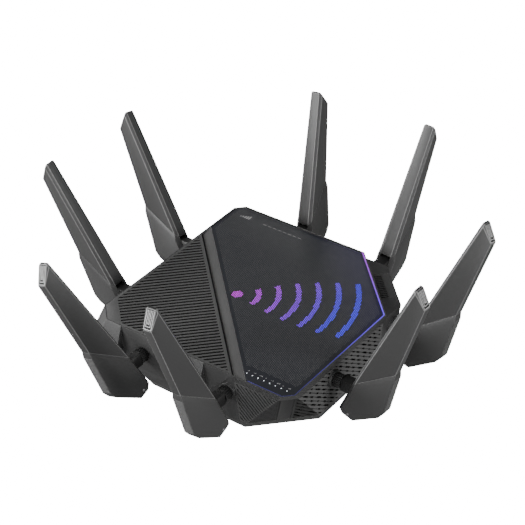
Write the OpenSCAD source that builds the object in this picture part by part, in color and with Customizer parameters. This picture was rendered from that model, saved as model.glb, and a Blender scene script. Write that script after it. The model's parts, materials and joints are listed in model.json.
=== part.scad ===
// Desktop wireless router: a faceted case with a smoked light panel, a ribbed vent
// panel and eight folding antennas, two on each side.
// Millimetres. Z is up, the feet stand on z = 0, and the origin is the middle of the case.
// The status lights are on the -Y edge (front) and the sockets on the +Y edge (back).

/* [Case] */
// Width and depth of the flat top of the case
case_w = 240; // [220:1:290]
// Height of the top above the table
case_h = 72.5; // [66:0.5:90]
// Width and depth of the case where the top cover meets the bottom case
base_w = 227; // [208:1:270]
// Height of the joint between the bottom case and the top cover
joint_z = 12; // [10:0.5:16]
// How far the shoulders beside the antennas stand out past the top edge
shoulder_out = 8; // [4:0.5:10]
// Height of the widest line of the shoulders
shoulder_z = 50; // [44:1:56]
// Thickness of the outer walls
wall = 2.5; // [2:0.1:3.5]

/* [Corners] */
// Corner cut of the top at the left corner
cut_left = 16.8; // [10:0.2:22]
// Corner cut of the top at the front corner
cut_front = 9.5; // [6:0.1:14]
// Corner cut of the top at the right corner, beside the vent block
cut_right = 78; // [70:1:84]
// Corner cut of the top at the rear corner
cut_rear = 9.3; // [6:0.1:14]
// Corner cut of all four corners of the base
cut_base = 52; // [44:1:56]
// Corner cut of the vent block at the right corner
cut_vent = 48; // [44:1:54]

/* [Top panels] */
// Width of the cover's rim around the top panels
rim_w = 1.2; // [0.8:0.1:2]
// Depth of the tray that holds the top panels
tray_d = 5; // [4.5:0.1:7]
// Thickness of the deck under the tray
deck_t = 2; // [1.6:0.1:3]
// Distance of the seam line from the middle of the case
seam_off = 45.8; // [36:0.2:56]
// Width of the dark groove beside the seam
groove_w = 1.6; // [0.8:0.1:3]
// Width of the sloping strip beside the seam
strip_w = 10.4; // [6:0.1:14]
// Drop of the sloping strip at the groove
strip_drop = 1.6; // [0.5:0.1:2.5]
// Thickness of the smoked panel
lens_t = 2; // [1.5:0.1:3]
// Width of the light guide along the panel's edges
guide_w = 1.2; // [0.8:0.1:2]

/* [Ribbed vent] */
// Distance from one rib to the next
rib_pitch = 4.8; // [4:0.1:8]
// Width of each open slot
rib_gap = 2.4; // [1.6:0.1:3.2]
// Thickness of the ribbed panel
rib_t = 3; // [2:0.1:4]
// Plain border along the case edges
rib_border = 2.2; // [1.5:0.1:5]
// Plain border at the left corner
rib_corner_border = 14; // [8:0.5:20]

/* [Grilles] */
// Distance between the slots of the front grille
grille_pitch = 3.6; // [3:0.1:5]
// Width of the slots of the front grille
grille_gap = 1.7; // [1:0.1:2.2]
// Distance between the rows of the side grille
row_pitch = 4.1; // [3.6:0.1:6]
// Height of the holes of the side grille
row_gap = 1.9; // [1.2:0.1:2.4]
// Length of the longest holes of the side grille
row_hole = 10; // [8:0.5:12]
// Height of the grooves that join the holes of a row
row_line = 0.7; // [0.4:0.1:1]
// Half width of the plain strip at the front corner
corner_strip_w = 6.6; // [5:0.1:9]

/* [Antennas] */
// Half the distance between the two antennas of a side
antenna_off = 51.5; // [48:0.5:54]
// How far the front and right pairs are moved away from the front corner
pair_shift = 6; // [0:0.5:8]
// Height of the swivel axes
hinge_z = 50; // [46:0.5:54]
// Distance of the tilt pin outside the case edge
pin_out = 26; // [25:0.5:30]
// Radius of the swivel spigot
spigot_r = 4; // [3.5:0.1:4.5]
// Radius of the tilt pin
pin_r = 2; // [1.6:0.1:2.4]
// Radial clearance of the spigots and pins
fit_gap = 0.06; // [0.02:0.01:0.1]
// Width of the knuckle between the cheeks
knuckle_w = 12; // [10:0.5:12.5]
// Radius of the knuckle around the tilt pin
knuckle_r = 6; // [5:0.1:6.3]
// Clearance between the knuckle and each cheek
cheek_gap = 0.3; // [0.2:0.05:0.5]
// Outer radius of the collar
collar_r = 7.5; // [6.5:0.1:8]
// Half width of the blade at its foot
blade_half = 9.4; // [9:0.1:10]
// Half width of the blade at its tip
blade_tip_half = 7.2; // [6:0.1:8]
// Half width of the blade's outer edge
blade_edge_half = 5; // [4:0.1:6]
// How much thicker the skirt is than the blade, on each side
skirt_step = 1.2; // [0.5:0.1:1.5]
// Length of the slope between the blade and the skirt's full thickness
skirt_slope = 6; // [3:0.5:8]

/* [Sockets] */
// Width of the port bay at the back
bay_w = 160; // [156:1:164]
// Top of the port bay
bay_top = 40; // [38:0.5:42]
// Distance of the port plate from the middle of the case
bay_y = 112; // [111:0.5:113]
// Distance between the network sockets
rj_pitch = 17; // [16.6:0.1:18]
// Width of a network socket
rj_w = 16; // [15:0.1:16.4]
// Height of a network socket
rj_h = 13.4; // [12:0.1:14]
// Depth of a network socket
rj_d = 21; // [18:0.5:24]

/* [Boards] */
// Height of the underside of the main board
board_z = 15; // [13.5:0.1:16]
// Thickness of the boards
board_t = 1.6; // [1:0.1:2]
// Height of the heat sink above the main board
sink_h = 26; // [16:0.5:30]

/* [Feet and screws] */
// Height of the rubber feet
foot_h = 3; // [2:0.1:5]
// Radius of the rubber feet
foot_r = 8; // [6:0.5:10]
// Radius of the case screws
screw_r = 1.5; // [1.2:0.1:2]
// Distance of the screws from the middle, in X and Y
screw_at = 66; // [62:1:70]

/* [Hidden] */
// Name, side angle, which half of the side, splay away from the side's middle, extra tilt,
// and which way the pair is moved along the side to leave room for the front corner's grilles
ANTENNAS = [
    ["front_right", -90, 1, -6.6, -4.3, -1],
    ["front_left", -90, -1, 18.4, -5.1, -1],
    ["right_back", 0, 1, 12.6, -3.9, 1],
    ["right_front", 0, -1, -2.9, -1.7, 1],
    ["back_left", 90, 1, 7.2, -6.7, 0],
    ["back_right", 90, -1, 3.9, 0.3, 0],
    ["left_front", 180, 1, 2.5, 5.4, 0],
    ["left_back", 180, -1, 12.5, 10, 0],
];
BODY_NODES = ["bottom_case", "top_cover", "ribbed_panel", "bevel_trim", "light_panel",
    "light_guide", "led_board", "led_matrix", "status_leds", "front_grille", "side_grille",
    "corner_strip", "corner_vent", "port_plate", "main_board", "heat_sink", "shield_cans",
    "chips", "ethernet_jacks", "usb_ports", "dc_jack", "feet", "case_screws", "board_pillars",
    "antenna_leads", "power_switch", "reset_button", "pairing_button"];
PIECES = ["blade", "skirt", "knuckle", "collar"];

far = 400;                // longer than the whole case
top_half = case_w / 2;
base_half = base_w / 2;
foot_half = base_half - (joint_z - foot_h) * 0.5;
tray_z = case_h - tray_d;
deck_z = tray_z - deck_t;
vent_z = case_h - 5.5;    // top of the vent block at the right corner
gap = 0.2;                // assembly gap between parts that are fixed together
silver = [0.75, 0.76, 0.78];
coal = [0.16, 0.16, 0.17];
slate = [0.27, 0.28, 0.29];
board_green = [0.05, 0.2, 0.12];

// An eight-cornered outline with its own cut at the left, front, right and rear corners
function outline(h, cut) = [
    [-h + cut[0], -h], [h - cut[1], -h], [h, -h + cut[1]], [h, h - cut[2]],
    [h - cut[2], h], [-h + cut[3], h], [-h, h - cut[3]], [-h, -h + cut[0]],
];
// The corner cuts that keep every wall d thick when the half width shrinks by d
function inner_cut(cut, d) = [for (c = cut) c - d * (2 - sqrt(2))];
function inner_outline(h, cut, d) = outline(h - d, inner_cut(cut, d));
top_cut = [cut_left, cut_front, cut_right, cut_rear];
base_cut = [cut_base, cut_base, cut_base, cut_base];
vent_cut = [cut_base, cut_base, cut_vent, cut_base];

module slab(z, points, t) translate([0, 0, z]) linear_extrude(t) polygon(points);

function at_height(points, z) = [for (p = points) [p[0], p[1], z]];
function join(lists) = [for (l = lists) each l];
// The convex solid around some points
module solid_of(points) hull() polyhedron(points, [[for (i = [0:len(points) - 1]) i]]);
// A solid that runs straight from one outline to another
module loft(z0, p0, z1, p1) solid_of(concat(at_height(p0, z0), at_height(p1, z1)));

// Everything with x + y between a * sqrt(2) and b * sqrt(2), which is a band along the seam
module band(a, b, z0, z1) rotate(45) translate([a, -far / 2, z0]) cube([b - a, far, z1 - z0]);

// The case's sloping sides at a height, and the convex solid between two heights, d inside them
function slope_share(z) = (z - joint_z) / (case_h - joint_z);
function case_outline(z, d) = inner_outline(
    base_half + (top_half - base_half) * slope_share(z), base_cut + (top_cut - base_cut) * slope_share(z), d);
module case_loft(z0, z1, d) loft(z0, case_outline(z0, d), z1, case_outline(z1, d));

// Puts children at an antenna's hinge: X points away from the case, Y along the side
function side_y(a) = a[2] * antenna_off + a[5] * pair_shift;
module at_side(a) rotate(a[1]) translate([top_half, side_y(a), hinge_z]) children();
module at_hinge(a) at_side(a) rotate([-a[2] * a[3], 0, 0]) children();
module at_pin(a) at_hinge(a) translate([pin_out, 0, 0]) rotate([0, a[4], 0]) children();
module along_x(x0, x1, r) translate([x0, 0, 0]) rotate([0, 90, 0]) cylinder(h = x1 - x0, r = r, $fn = 48);
module along_y(y0, y1, r) translate([0, y0, 0]) rotate([-90, 0, 0]) cylinder(h = y1 - y0, r = r, $fn = 48);

/* ---- case ---- */

shoulder_end = 12;        // where the shoulders' widest line ends along the side
shoulder_top_end = 52;    // where the shoulders meet the top edge
pocket_half = 27;         // half width of the recess behind each antenna

// An outline round the left corner that ends at a place along both sides
function shoulder_line(h, cut, end) = [[-h + cut, -h], [end, -h], [-h, end], [-h, -h + cut]];
// The outer body above the joint
module upper_body() {
    w = top_half + shoulder_out;
    case_loft(joint_z, case_h, 0);
    loft(joint_z, outline(base_half, base_cut), vent_z, outline(top_half - 1, vent_cut));
    difference() {
        solid_of(concat(
            at_height(shoulder_line(top_half, cut_left, shoulder_top_end), case_h),
            at_height(shoulder_line(w, cut_left, shoulder_end), shoulder_z),
            at_height(shoulder_line(base_half, cut_base, shoulder_end), joint_z)));
        for (a = ANTENNAS)
            rotate(a[1]) translate([top_half, side_y(a) - pocket_half, joint_z])
                cube([far, 2 * pocket_half, case_h]);
    }
    translate([-bay_w / 2, 0, joint_z]) cube([bay_w, bay_y + wall, bay_top - joint_z + wall]);
}

// The room inside the upper body, under the deck
module upper_room() {
    case_loft(joint_z - 1, deck_z, wall);
    translate([-bay_w / 2 + wall, 0, joint_z - 1]) cube([bay_w - 2 * wall, bay_y, bay_top - joint_z + 1]);
}

// The walls of the front corner to a depth t, from which the grilles and the corner strip are made
module corner_wall(t = wall) difference() {
    case_loft(joint_z, case_h, 0);
    case_loft(joint_z - 1, case_h + 1, t);
}

grille_bottom = joint_z + 2;
grille_top = deck_z - 0.5;
grille_front_x = 54;      // left end of the front grille
grille_side_y = 38;       // rear end of the side grille
grille_in = 26;           // how deep the grille zone reaches into the case

// The zone of the grilles, seen from above, grown by d
module grille_zone(d = 0) translate([0, 0, grille_bottom - d]) linear_extrude(grille_top - grille_bottom + 2 * d)
    polygon([
        [grille_front_x - d, -far], [far, -far], [far, grille_side_y + d],
        [top_half - grille_in, grille_side_y + d], [top_half - grille_in, -base_half + cut_base],
        [base_half - cut_base - 2, -top_half + grille_in], [grille_front_x - d, -top_half + grille_in],
    ]);

module hinge_posts(r_extra = 0) for (a = ANTENNAS) at_side(a) {
    along_x(-boss_in - r_extra, r_extra, boss_r + r_extra);
    translate([-boss_in - r_extra, -boss_r / 2 - r_extra, 0])
        cube([boss_in - 3.5 + 2 * r_extra, boss_r + 2 * r_extra, deck_z - hinge_z + 0.1]);
}
boss_r = collar_r + 1.5;
boss_in = 8;
flange_room = 12;         // depth of the room behind each hinge post

// Bores of the swivel spigots, and the room behind them for their flanges
module hinge_rooms() for (a = ANTENNAS) at_side(a) {
    along_x(-boss_in - 1, 1, spigot_r + fit_gap);
    along_x(-boss_in - flange_room, -boss_in, spigot_r + 2.5);
}

module bottom_case() color(slate) difference() {
    union() {
        difference() {
            union() {
                loft(foot_h, outline(foot_half, base_cut), joint_z, outline(base_half, base_cut));
                translate([-bay_w / 2, 0, foot_h]) cube([bay_w, bay_y + wall, joint_z - foot_h]);
            }
            loft(foot_h + wall, inner_outline(foot_half, base_cut, wall),
                joint_z + 1, inner_outline(base_half, base_cut, wall));
            translate([-bay_w / 2 + wall, 0, foot_h + wall]) cube([bay_w - 2 * wall, bay_y, joint_z]);
        }
        four_screws() cylinder(h = joint_z - foot_h - 1, r = screw_r + 3.5, $fn = 48);
    }
    four_screws() {
        translate([0, 0, -1]) cylinder(h = joint_z, r = screw_r + fit_gap, $fn = 48);
        translate([0, 0, -1]) cylinder(h = screw_head_h + 1.5, r = screw_head_r + gap, $fn = 48);
    }
    for (x = [-40:8:40]) translate([x, 0, foot_h - 1]) cube([3, 60, 2 * wall + 2], center = true);
}
screw_head_r = 2 * screw_r;
screw_head_h = 2;
module four_screws() for (x = [-1, 1], y = [-1, 1])
    translate([x * screw_at, y * screw_at, foot_h]) children();

module case_screws() color(silver) four_screws() {
    translate([0, 0, 0.5]) cylinder(h = screw_head_h, r = screw_head_r, $fn = 32);
    translate([0, 0, 0.5]) cylinder(h = 18, r = screw_r, $fn = 32);
}

module top_cover() color(slate) difference() {
    union() {
        difference() {
            upper_body();
            upper_room();
            grille_zone();
            corner_vent_zone(0);
            translate([-bay_w / 2 + wall, bay_y - wall, joint_z + 1.5])
                cube([bay_w - 2 * wall, far, bay_top - joint_z - 1.5]);
        }
        hinge_posts();
        translate([0, 0, joint_z - foot_h - 1])
            four_screws() cylinder(h = deck_z - joint_z + 1.1, r = screw_r + 2.5, $fn = 48);
    }
    case_loft(tray_z, case_h + 1, rim_w);
    // vent opening through the deck, under the ribbed panel
    intersection() {
        slab(deck_z - 1, inner_outline(top_half, top_cut, 14), deck_t + 2);
        band(-far, -seam_off - 8, deck_z - 1, tray_z + 1);
        rotate(45) for (s = [-1, 1])
            translate([-far / 2, s > 0 ? deck_rib_w / 2 : -far - deck_rib_w / 2, deck_z - 1])
                cube([far, far, deck_t + 2]);
    }
    hinge_rooms();
    translate([0, 0, joint_z - foot_h - 1]) four_screws() cylinder(h = 16, r = screw_r + fit_gap, $fn = 48);
    // the grilles' pattern goes on as grooves up to the edge
    intersection() {
        corner_wall(rim_groove);
        union() {
            front_slots(grille_top, case_h - rim_plain);
            side_rows(grille_top, case_h - rim_plain);
        }
    }
}
rim_groove = 0.6;         // depth of the grooves above the grilles
rim_plain = 1;            // plain height above the grooves

deck_rib_w = 9;           // rib across the vent opening, which carries the left screw post

/* ---- top panels ---- */

lens_z = case_h - lens_t;
lens_skirt_w = 1;
panel_edge = rim_w + gap / 2;
guide_in = panel_edge + guide_w + gap / 2;

module ribbed_panel() color(coal) {
    edge = -seam_off - groove_w;
    difference() {
        intersection() {
            case_loft(case_h - rib_t, case_h, panel_edge);
            band(-far, edge, 0, case_h + 1);
        }
        intersection() {
            slab(0, inner_outline(top_half, top_cut, panel_edge + rib_border), far);
            band(-rib_reach, edge - 3, 0, far);
            rotate(45) for (i = [-rib_n:rib_n])
                translate([-far / 2, (i + 0.5) * rib_pitch - rib_gap / 2, case_h - rib_t - 1])
                    cube([far, rib_gap, rib_t + 2]);
        }
    }
    // edge walls that stand on the deck
    intersection() {
        difference() {
            case_loft(tray_z, case_h - rib_t, panel_edge);
            case_loft(tray_z - 1, case_h, panel_edge + 1.6);
        }
        band(-far, edge, 0, far);
    }
}
rib_n = floor(top_half * sqrt(2) / rib_pitch);
rib_reach = (2 * top_half - cut_left) / sqrt(2) - rib_corner_border;

module bevel_trim() color(slate) intersection() {
    case_loft(tray_z, case_h, panel_edge);
    rotate(45) translate([-seam_off, far / 2, 0]) rotate([90, 0, 0]) linear_extrude(far)
        polygon([[0, tray_z], [strip_w - gap, tray_z], [strip_w - gap, case_h], [0, case_h - strip_drop]]);
}

module light_panel() color([0.12, 0.12, 0.15]) difference() {
    intersection() {
        case_loft(tray_z, case_h, guide_in);
        band(strip_w - seam_off, far, 0, far);
    }
    intersection() {
        case_loft(tray_z - 1, lens_z, guide_in + lens_skirt_w);
        band(strip_w - seam_off + lens_skirt_w, far, 0, far);
    }
}

module light_guide() color([0.5, 0.3, 1]) intersection() {
    difference() {
        case_loft(tray_z, case_h - 0.2, panel_edge);
        case_loft(tray_z - 1, case_h + 1, panel_edge + guide_w);
    }
    band(strip_w - seam_off + 1, far, 0, far);
    rotate(-45) translate([-55, -far / 2, 0]) cube([far, far, far]);
}

board_in = guide_in + lens_skirt_w + 1;
module led_board() color(board_green) intersection() {
    slab(tray_z, case_outline(tray_z, board_in), 1.2);
    band(strip_w - seam_off + lens_skirt_w + 1, far, 0, far);
}

led_z = tray_z + 1.2;
led_size = 2.4;
fan_at = [-12.7, -7.1];   // foot of the fan of light arcs
fan_turn = 20;            // direction of the fan of light arcs

// Light chips in arcs about one point, like ripples
module led_matrix() color("white") translate([fan_at[0], fan_at[1], led_z]) {
    cylinder(h = 1.2, r = 3, $fn = 24);
    for (r = [26, 48, 70, 92], n = [-2:2]) rotate(fan_turn + n * 15) translate([r, 0, 0.6])
        cube([led_size, led_size, 1.2], center = true);
}

status_n = 8;
status_pitch = 6.7;
status_x = top_half - 58;
status_y = 109.2 - 120;   // from the front edge
module status_leds() color("white") for (i = [0:status_n - 1])
    translate([status_x + i * status_pitch, -top_half - status_y, led_z])
        cylinder(h = lens_z - led_z - 0.3, r = 0.9, $fn = 24);

/* ---- grilles ---- */

// The front slots lean towards the corner as they go down
module front_slots(z0, z1) intersection() {
    translate([grille_front_x + 2, -far, z0]) cube([far, far, z1 - z0]);
    band(-far, -corner_strip_w - 2.2, 0, far);
    translate([grille_front_x, -top_half, grille_bottom]) rotate(front_slot_turn) rotate([0, -front_slot_lean, 0])
        for (i = [-8:24]) translate([i * grille_pitch, -grille_reach, -grille_reach])
            cube([grille_gap, 2 * grille_reach, 2 * grille_reach]);
}
front_slot_turn = -40;
front_slot_lean = 31;
grille_reach = 90;

module front_grille() color(coal) difference() {
    intersection() {
        corner_wall();
        grille_zone(-gap);
        band(-far, -corner_strip_w - gap, 0, far);
    }
    hinge_posts(0.5);
    hinge_rooms();
    front_slots(grille_bottom + 1.5, grille_top - 1.5);
}

// Grooves that drop towards the back, one for each row of the side grille
module side_rows(z0, z1) intersection() {
    translate([top_half - grille_in, -top_half, z0]) cube([far, top_half + grille_side_y - 3, z1 - z0]);
    band(corner_strip_w + 2.5, far, 0, far);
    translate([top_half - grille_in, -top_half, case_h]) rotate([-row_drop, 0, 0])
        for (i = [-20:22]) translate([0, -grille_reach, -i * row_pitch + (row_gap - row_line) / 2])
            cube([2 * grille_in, 4 * grille_reach, row_line]);
}

// Rows of grooves with holes of several lengths
module side_grille() color(coal) difference() {
    intersection() {
        corner_wall();
        grille_zone(-gap);
        band(corner_strip_w + gap, far, 0, far);
    }
    hinge_posts(0.5);
    hinge_rooms();
    intersection() {
        corner_wall(row_groove);
        side_rows(grille_bottom + 2, case_h);
    }
    intersection() {
        translate([top_half - grille_in, -top_half, grille_bottom + 2])
            cube([far, top_half + grille_side_y - 3, grille_top - grille_bottom - 4]);
        band(corner_strip_w + 2.5, far, 0, far);
        translate([top_half - grille_in, -top_half, case_h]) rotate([-row_drop, 0, 0])
            for (i = [-20:22], j = [0:11]) if (row_shows(i, j))
                translate([0, j * (row_hole + row_land) + (i % 3) * row_land, -i * row_pitch])
                    cube([2 * grille_in, row_hole * hole_share[(i + 2 * j + 40) % 4], row_gap]);
    }
}
row_drop = 36;            // how steeply the rows drop towards the back
row_land = 5;             // least solid length between two holes of a row
row_groove = 0.8;         // depth of the grooves
hole_share = [0.35, 0.7, 0.5, 1];   // lengths of neighbouring holes, of the longest
// Whether hole j of row i lies within the side's height
function row_shows(i, j) = let (
    y = (j + 0.5) * (row_hole + row_land), z = -i * row_pitch,
    up = case_h + z * cos(row_drop) - y * sin(row_drop), along = y * cos(row_drop) + z * sin(row_drop))
    up > joint_z - 6 && up < case_h && along > -8 && along < top_half + grille_side_y + 8;

module corner_strip() color(coal) intersection() {
    corner_wall();
    grille_zone(-gap);
    band(-corner_strip_w, corner_strip_w, 0, far);
    rotate(-45) translate([top_half, -far / 2, 0]) cube(far);
}

// The vent block at the right corner, grown by d
vent_inner = (2 * top_half - cut_right) / sqrt(2) + 2.4;
vent_outer = (2 * (top_half - 1) - cut_vent) / sqrt(2);
module corner_vent_zone(d) translate([0, 0, 0]) rotate(45)
    translate([vent_inner - d, -22 - d, vent_z - 14 - d]) cube([far, 44 + 2 * d, 14 + 2 * d + 1]);
module corner_vent() color(coal) difference() {
    intersection() {
        loft(joint_z, outline(base_half, base_cut), vent_z, outline(top_half - 1, vent_cut));
        corner_vent_zone(-gap);
    }
    rotate(45) translate([vent_inner + 3, -20, vent_z - 20]) cube([vent_outer - vent_inner - 8, 40, 14]);
    for (i = [-6:6]) rotate(45) translate([vent_inner - 1, i * 3 - 0.8, vent_z - 7])
        cube([9, 1.6, 8]);
}

/* ---- sockets ---- */

rj_x = [for (i = [0:4]) 64 - i * rj_pitch];
rj_z = board_z + board_t;
rj_mouth = [11.8, 8.4];
usb_x = [-22.5, -38];
usb_w = 14.4;
usb_h = 7.2;
usb_z = rj_z + 1;
dc_x = -70;
dc_z = 24;
dc_r = 4.2;
button_x = -48.7;
reset_z = 20;
pairing_z = 31;
button_r = 2;
switch_x = -58.5;
switch_z = 25;
switch_w = 8;
switch_h = 13;
plate_front = bay_y - wall + gap / 2;
plate_t = 2;
switch_box_d = 11;
switch_pin_in = 4.2;      // depth of the rocker's pin behind the plate's face
switch_pin_r = 1;
switch_turn = 6;          // turn of the rocker at rest, towards its lower half

// The plate around the sockets, with the box that the power rocker turns in behind it
module port_plate() color(coal) difference() {
    union() {
        translate([-bay_w / 2 + wall + gap, bay_y - plate_t, joint_z + 1.5 + gap])
            cube([bay_w - 2 * wall - 2 * gap, plate_t, bay_top - joint_z - 1.5 - 2 * gap]);
        translate([switch_x, bay_y - switch_box_d / 2, switch_z])
            cube([switch_w + 4, switch_box_d, switch_h + 2], center = true);
    }
    translate([switch_x, bay_y - switch_box_d / 2 + 1, switch_z])
        cube([switch_w + 2 * gap, switch_box_d, switch_h + 2 * gap], center = true);
    translate([switch_x, bay_y - switch_pin_in, switch_z]) rotate([0, 90, 0])
        cylinder(h = switch_w + 2.6, r = switch_pin_r + fit_gap, center = true, $fn = 32);
    for (x = rj_x) translate([x - rj_w / 2 - gap, 0, rj_z - gap]) cube([rj_w + 2 * gap, far, rj_h + 2 * gap]);
    for (x = usb_x) translate([x - usb_w / 2 - gap, 0, usb_z - gap]) cube([usb_w + 2 * gap, far, usb_h + 2 * gap]);
    translate([dc_x, 0, dc_z]) along_y(0, far, dc_r + gap);
    for (z = [reset_z, pairing_z]) translate([button_x, 0, z]) along_y(0, far, button_r + fit_gap);
}

module ethernet_jacks() color(silver) for (x = rj_x)
    translate([x, bay_y - rj_d, rj_z]) difference() {
        translate([-rj_w / 2, 0, 0]) cube([rj_w, rj_d, rj_h]);
        translate([-rj_mouth[0] / 2, 5, 2]) cube([rj_mouth[0], rj_d, rj_mouth[1]]);
        translate([-3, 5, 1.9]) cube([6, rj_d, rj_mouth[1] + 1.6]);
    }

module usb_ports() color(silver) for (x = usb_x) translate([x, bay_y - 18, usb_z]) {
    difference() {
        translate([-usb_w / 2, 0, 0]) cube([usb_w, 18, usb_h]);
        translate([-usb_w / 2 + 0.8, 3, 0.8]) cube([usb_w - 1.6, 18, usb_h - 1.6]);
    }
    translate([-5.8, 2.5, 3.6]) cube([11.6, 13, 1.8]);
}

module dc_jack() color(coal) translate([dc_x, 0, dc_z]) difference() {
    union() {
        along_y(bay_y - 12, bay_y, dc_r);
        translate([-5, bay_y - 14, dc_z0 - dc_z]) cube([10, 11.5, 2 * (dc_z - dc_z0)]);
    }
    along_y(bay_y - 11, bay_y + 1, 2.8);
}
dc_z0 = board_z + board_t;

module power_switch() color(coal) translate([switch_x, bay_y - switch_pin_in, switch_z]) difference() {
    union() {
        rotate([0, 90, 0]) cylinder(h = switch_w - 0.6, r = 4.6, center = true, $fn = 64);
        rotate([0, 90, 0]) cylinder(h = switch_w + 2.4, r = switch_pin_r, center = true, $fn = 32);
        rotate([switch_turn, 0, 0]) translate([-switch_w / 2 + 0.3, -1, -switch_h / 2 + 0.6])
            cube([switch_w - 0.6, switch_pin_in + 1.6, switch_h - 1.2]);
    }
    translate([-far / 2, -far - 2.5, -far / 2]) cube(far);
}

module push_button(z, proud) color("silver") translate([button_x, bay_y, z]) {
    along_y(-6, proud, button_r);
    along_y(-plate_t - 3, -plate_t - 0.1, button_r + 0.9);
}
module reset_button() push_button(reset_z, -0.5);
module pairing_button() push_button(pairing_z, 1.2);

/* ---- boards ---- */

board_edge = inner_outline(base_half, base_cut, wall + 3);
module main_board() color(board_green) difference() {
    slab(board_z, board_edge, board_t);
    four_screws() cylinder(h = far, r = screw_r + 3, $fn = 32);
    for (p = pillar_at) translate([p[0], p[1], 0]) cylinder(h = far, r = 1.6, $fn = 32);
}
pillar_at = [[-90, 0], [90, 0], [0, -95], [-36, 84], [0, 20]];
module board_pillars() color("gold") for (p = pillar_at) translate([p[0], p[1], foot_h + wall]) {
    cylinder(h = board_z - foot_h - wall, r = 3, $fn = 32);
    cylinder(h = board_z + board_t + 1 - foot_h - wall, r = 1.5, $fn = 32);
}

chip_top = board_z + board_t + 2.4;
module chips() color("dimgray") for (p = [[-25, -20, 22], [25, -20, 18], [-25, 50, 14], [30, 45, 14], [60, 10, 12]])
    translate([p[0] - p[2] / 2, p[1] - p[2] / 2, board_z + board_t]) cube([p[2], p[2], 2.4]);

sink_w = 124;
sink_d = 96;
fin_n = 21;
module heat_sink() color(silver) translate([-sink_w / 2, -40, chip_top]) difference() {
    cube([sink_w, sink_d, sink_h]);
    for (i = [1:fin_n]) translate([i * sink_w / fin_n - sink_w / fin_n + 1.2, -1, 4])
        cube([sink_w / fin_n - 2, sink_d + 2, sink_h]);
    translate([sink_w / 2, 60, -1]) cylinder(h = 6, r = 5, $fn = 32);
}

module shield_cans() color(silver) for (p = [[-88, -34], [72, -44], [-34, -88], [12, -88]])
    translate([p[0], p[1], board_z + board_t]) difference() {
        cube([22, 24, 4]);
        translate([0.5, 0.5, -1]) cube([21, 23, 4.5]);
    }

// Thin leads from the main board up to the inside end of each spigot
lead_in = top_half - base_half + 25.5;
module antenna_leads() color("black") for (a = ANTENNAS) at_side(a) {
    translate([-lead_in, 0, board_z + board_t - hinge_z]) cylinder(h = hinge_z - board_z - board_t, r = 0.7, $fn = 16);
    translate([-lead_in, 0, 0]) sphere(r = 0.9, $fn = 24);
    along_x(-lead_in, -boss_in - spigot_flange - 0.3, 0.7);
}

module feet() color([0.08, 0.08, 0.08]) for (x = [-1, 1], y = [-1, 1])
    translate([x * (screw_at + 14), y * (screw_at - 26), 0]) cylinder(h = foot_h, r = foot_r, $fn = 64);

/* ---- antennas ---- */
// Side view of an antenna, from its tilt pin: [away from the case, up, half width]

spigot_flange = 1.6;
collar_x0 = 0.5;
knuckle_x0 = pin_out - 16.5;
foot_in = [-2, 9];        // inner end of the line between blade and skirt
foot_out = [44.4, 36];    // outer end of that line
tip_in = [62.1, 137];
tip_out = [64.5, 136.4];
tip_low = [73.4, 117.9];  // lower end of the sloping face at the tip
foot_half_in = 6.4;       // half width at the inner end of the line between blade and skirt

function edge(p, w) = [[p[0], -w, p[1]], [p[0], w, p[1]]];
// A point a part t of the way from p to q, moved d across
function across(p, q, t, d) = let (v = q - p, n = norm(v)) p + t * v + d / n * [v[1], -v[0]];

foot_wide = across(foot_in, foot_out, 0.09, 0);

module blade(a) color(slate) at_pin(a) {
    side_tip = across(foot_in, tip_in, 1, 3.4) - [1, 1.2];
    solid_of(join([
        edge(foot_in, foot_half_in), edge(foot_wide, blade_half), edge(side_tip, blade_tip_half),
        edge(tip_in, 5), edge(tip_out, blade_edge_half), edge(tip_low, blade_edge_half),
        edge(foot_out, blade_edge_half)]));
    // tongue inside the skirt
    translate([0, 2, 0]) rotate([90, 0, 0]) linear_extrude(4)
        polygon([[14, 18], [38, 32], [34, 12], [24, 4], [14, 6]]);
}

module skirt(a) color(coal) at_pin(a) difference() {
    w = skirt_step;
    solid_of(join([
        edge(foot_in, foot_half_in), edge(foot_wide, blade_half), edge(foot_out, blade_edge_half),
        edge(foot_wide - [1.6, skirt_slope], blade_half + w), edge(foot_out - [0.6, skirt_slope], blade_edge_half + w),
        edge([32.5, -13.2], blade_edge_half + w),
        edge([26.7, -19.7], blade_edge_half + w), edge([-2.1, -34.6], 7), edge([-15, -31.5], 5.5),
        edge([-18, -25], 6), edge([-13, -24], blade_half + w)]));
    // room for the knuckle between the cheeks
    translate([-40, -knuckle_w / 2 - cheek_gap, -26]) cube([48.5, knuckle_w + 2 * cheek_gap, 60]);
    along_y(-blade_half, blade_half, pin_r + fit_gap);
    translate([0, 2 + gap, 0]) rotate([90, 0, 0]) linear_extrude(4 + 2 * gap)
        polygon([[14 - gap, 20], [40, 34], [34 + gap, 12], [24, 4 - gap], [14 - gap, 6 - gap]]);
}

module knuckle(a) color(coal) at_hinge(a) {
    translate([pin_out, 0, 0]) {
        along_y(-knuckle_w / 2, knuckle_w / 2, knuckle_r);
        along_y(-blade_half + 0.3, blade_half - 0.3, pin_r);
    }
    translate([knuckle_x0, -knuckle_w / 2, -knuckle_r]) cube([pin_out - knuckle_x0, knuckle_w, 2 * knuckle_r]);
    along_x(-boss_in - spigot_flange, knuckle_x0 + 1, spigot_r);
    along_x(-boss_in - spigot_flange, -boss_in - 0.1, spigot_r + 1.5);
}

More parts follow.
